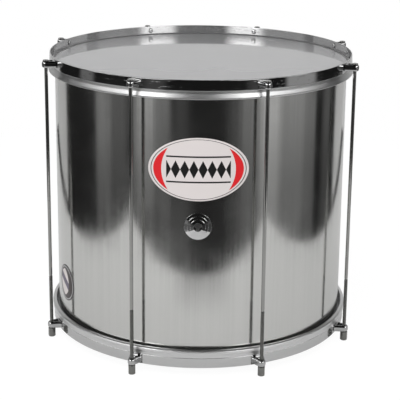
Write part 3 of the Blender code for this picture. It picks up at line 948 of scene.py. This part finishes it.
class DRUM_OT_stage(DrumOperator, bpy.types.Operator):
    """White sheet, dim room, soft lamp and camera"""

    bl_idname = "drum.stage"
    bl_label = "Stage"

    def sweep(self, name, path, vec, made):
        """A stage surface: a path of points carried along a vector."""
        work = bmesh.new()
        points = [work.verts.new(point) for point in path]
        edges = [work.edges.new(pair) for pair in zip(points, points[1:])]
        swept = bmesh.ops.extrude_edge_only(work, edges=edges)
        far = [part for part in swept["geom"] if isinstance(part, bmesh.types.BMVert)]
        bmesh.ops.translate(work, verts=far, vec=vec)
        surface = link_object(name, finish_mesh(work, name))
        surface.data.materials.append(made)
        return surface

    def rays(self, net):
        """Whether a ray is a glossy one, and whether it shows the stage to the camera."""
        rays = net.node("ShaderNodeLightPath").outputs
        seen = net.math("MAXIMUM", rays["Is Camera Ray"], rays["Is Transmission Ray"])
        return rays["Is Glossy Ray"], seen

    def sheet(self, stage):
        """White sheet under the drum, and white cards round its back that only metal shows.

        The camera sees the sheet's own even glow, and metal a weaker one over its lit white, which
        has painted shade: it is greyer in the middle in front of the drum.
        """
        made = bpy.data.materials.new("sheet_white")
        net = empty_net(made)
        plain = net.node("ShaderNodeBsdfDiffuse")
        spot = net.node("ShaderNodeSeparateXYZ")
        net.feed(spot.inputs[0], net.object_space())
        # Painted shade: the sheet's colour is made up to 0.27 darker in a strip about its middle,
        # most at its front edge, so that metal mirrors a darker floor there.
        aside = net.math("ABSOLUTE", net.math("SUBTRACT", spot.outputs["X"], 0.03))
        middle = net.span(aside, 0.08, 0.26, 0.27, 0.0)
        shade = net.times(middle, net.span(spot.outputs["Y"], -0.72, -0.45, 1.0, 0.0))
        net.feed(plain.inputs["Color"], net.math("SUBTRACT", stage.sheet_white, shade))
        glow = net.node("ShaderNodeEmission")
        glossy, seen = self.rays(net)
        blend = net.node("ShaderNodeMixShader")
        own_glow = net.math("MAXIMUM", net.times(seen, 0.92), net.times(glossy, 0.2))
        net.feed(blend.inputs[0], own_glow)
        net.feed(glow.inputs["Strength"], net.math("MULTIPLY_ADD", glossy, -0.44, 1.04))
        net.feed(blend.inputs[1], plain.outputs[0])
        net.feed(blend.inputs[2], glow.outputs[0])
        net.feed(net.node("ShaderNodeOutputMaterial").inputs["Surface"], blend.outputs[0])
        left, right, back = -stage.sheet_left, stage.sheet_right, stage.sheet_back
        ends = [(left, -stage.sheet_front, 0.0), (right, -stage.sheet_front, 0.0)]
        self.sweep("white_sheet", ends, (0.0, back + stage.sheet_front, 0.0), made)
        wings = [(left - 0.08, 0.38, 0.0), (left - 0.2, back, 0.0)]
        wings += [(right + 0.2, back, 0.0), (right + 0.06, 0.42, 0.0)]
        cards = self.sweep("back_cards", wings, (0.0, 0.0, stage.card_height), made)
        cards.visible_camera = False

    def strips(self, net, turn, level, table, fades=None):
        """The level with a table's strips added, faded differently on the left and the right."""
        for centre, width, soft, strength in table:
            away = net.math("ABSOLUTE", net.math("SUBTRACT", turn, math.radians(centre)))
            near, far = math.radians(width - soft), math.radians(width + soft)
            light = net.span(away, near, far, strength, 0.0)
            if fades:
                light = net.times(light, fades[centre > 0])
            level = net.plus(level, light)
        return level

    def room(self, stage):
        """White for the camera, soft ambient light, and a dim room with pale openings for metal.

        Heights are those of a ray's direction, from -1 straight down to 1 straight up.
        """
        world = bpy.data.worlds.new("studio")
        bpy.context.scene.world = world
        net = empty_net(world)
        parts = net.node("ShaderNodeSeparateXYZ")
        net.feed(parts.inputs[0], net.node("ShaderNodeTexCoord").outputs["Generated"])
        front = net.times(parts.outputs["Y"], -1.0)
        turn = net.math("ARCTAN2", parts.outputs["X"], front)
        height = parts.outputs["Z"]

        def band(level, *spans):
            for span in spans:
                level = net.times(level, net.span(height, *span))
            return level

        left = net.span(height, -0.32, -0.25, 0.3, 1.1)
        right = net.span(height, -0.34, -0.22, 0.66, 1.1)
        floor = net.span(height, -0.34, -0.27, stage.room + 0.018, stage.room)
        floor = self.strips(net, turn, floor, FLOOR_STRIPS, (left, right))
        low = self.strips(net, turn, 0.0, LOW_STRIP)
        floor = net.plus(floor, band(low, (-0.305, -0.285, 1.0, 0.0)))
        floor = band(floor, (-0.265, -0.222, 1.0, 1.5), (-0.18, -0.15, 1.0, 0.0))
        wall = self.strips(net, turn, stage.room, WALL_STRIPS)
        wall = band(wall, (-0.18, -0.15), (0.02, 0.07, 1.0, 0.0))
        boxes = band(self.strips(net, turn, 0.05, FRONT_BOXES), (0.26, 0.32, 1.0, 0.55))
        wide = band(self.strips(net, turn, 0.0, SIDE_BOXES), (0.26, 0.32, 0.12, 1.0))
        boxes = band(net.plus(boxes, wide), (0.08, 0.14), (0.44, 0.52, 1.0, 0.05))
        level = net.plus(net.plus(floor, wall), boxes)
        glossy, seen = self.rays(net)
        other = net.math("SUBTRACT", 1.0, glossy)
        strength = net.math("MULTIPLY_ADD", other, stage.ambient, net.times(glossy, level))
        glow = net.node("ShaderNodeBackground")
        glow.inputs["Color"].default_value = (1.0, 1.0, 1.0, 1.0)
        net.feed(glow.inputs["Strength"], net.math("MAXIMUM", strength, seen))
        net.feed(net.node("ShaderNodeOutputWorld").inputs["Surface"], glow.outputs[0])

    def lamp(self, stage):
        """One large soft lamp above and in front, aimed at the drum's middle."""
        data = bpy.data.lights.new("soft_lamp", "AREA")
        data.shape = "DISK"
        data.size = stage.lamp_size
        data.energy = stage.lamp_power
        lamp = link_object("soft_lamp", data)
        lamp.location = (-0.4, -1.2, 2.4)
        aim = Vector((0.0, 0.0, 0.3)) - lamp.location
        lamp.rotation_euler = aim.to_track_quat("-Z", "Y").to_euler()
        lamp.visible_glossy = False

    def camera(self, stage):
        """Camera at the photograph's angle."""
        data = bpy.data.cameras.new("camera")
        data.lens = stage.lens
        data.sensor_width = 36.0
        data.shift_y = stage.rise
        camera = link_object("camera", data)
        out = heading(stage.azimuth) * math.cos(stage.elevation)
        out.z = math.sin(stage.elevation)
        aim = Vector((0.0, 0.0, stage.aim_height))
        turn = (-out).to_track_quat("-Z", "Y").to_matrix().to_4x4()
        spot = Matrix.Translation(aim + out * stage.distance)
        camera.matrix_world = spot @ turn @ Matrix.Rotation(stage.roll, 4, "Z")
        bpy.context.scene.camera = camera

    def execute(self, context):
        stage = context.scene.drum_stage
        self.sheet(stage)
        self.room(stage)
        self.lamp(stage)
        self.camera(stage)
        context.scene.view_settings.view_transform = "Standard"
        return {"FINISHED"}


PIECES = (
    DRUM_OT_shell, DRUM_OT_heads, DRUM_OT_flesh_hoops, DRUM_OT_counter_hoops, DRUM_OT_lugs,
    DRUM_OT_rivets, DRUM_OT_rods, DRUM_OT_nuts, DRUM_OT_vent, DRUM_OT_stickers, DRUM_OT_stage,
)


class DRUM_PT_looks(bpy.types.Panel):
    """Lists the drum's operators and their settings"""

    bl_label = "Bass Drum"
    bl_idname = "DRUM_PT_looks"
    bl_space_type = "VIEW_3D"
    bl_region_type = "UI"
    bl_category = "Bass Drum"

    def draw(self, context):
        for piece in PIECES:
            self.layout.operator(piece.bl_idname)
        for group, _ in GROUPS:
            settings = getattr(context.scene, group)
            box = self.layout.box()
            for name in settings.__annotations__:
                box.prop(settings, name)


GROUPS = (("drum_forms", DrumForms), ("drum_finishes", DrumFinishes), ("drum_stage", DrumStage))


def register():
    for name, group in GROUPS:
        bpy.utils.register_class(group)
        setattr(bpy.types.Scene, name, PointerProperty(type=group))
    for piece in PIECES:
        bpy.utils.register_class(piece)
    bpy.utils.register_class(DRUM_PT_looks)


def unregister():
    bpy.utils.unregister_class(DRUM_PT_looks)
    for piece in reversed(PIECES):
        bpy.utils.unregister_class(piece)
    for name, group in reversed(GROUPS):
        delattr(bpy.types.Scene, name)
        bpy.utils.unregister_class(group)


def plain(bounds):
    return [list(corner) for corner in bounds]


def main():
    """Register and run the operators in order."""
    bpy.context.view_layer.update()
    register()
    for piece in PIECES:
        area, name = piece.bl_idname.split(".")
        getattr(getattr(bpy.ops, area), name)()


if __name__ == "__main__":
    main()
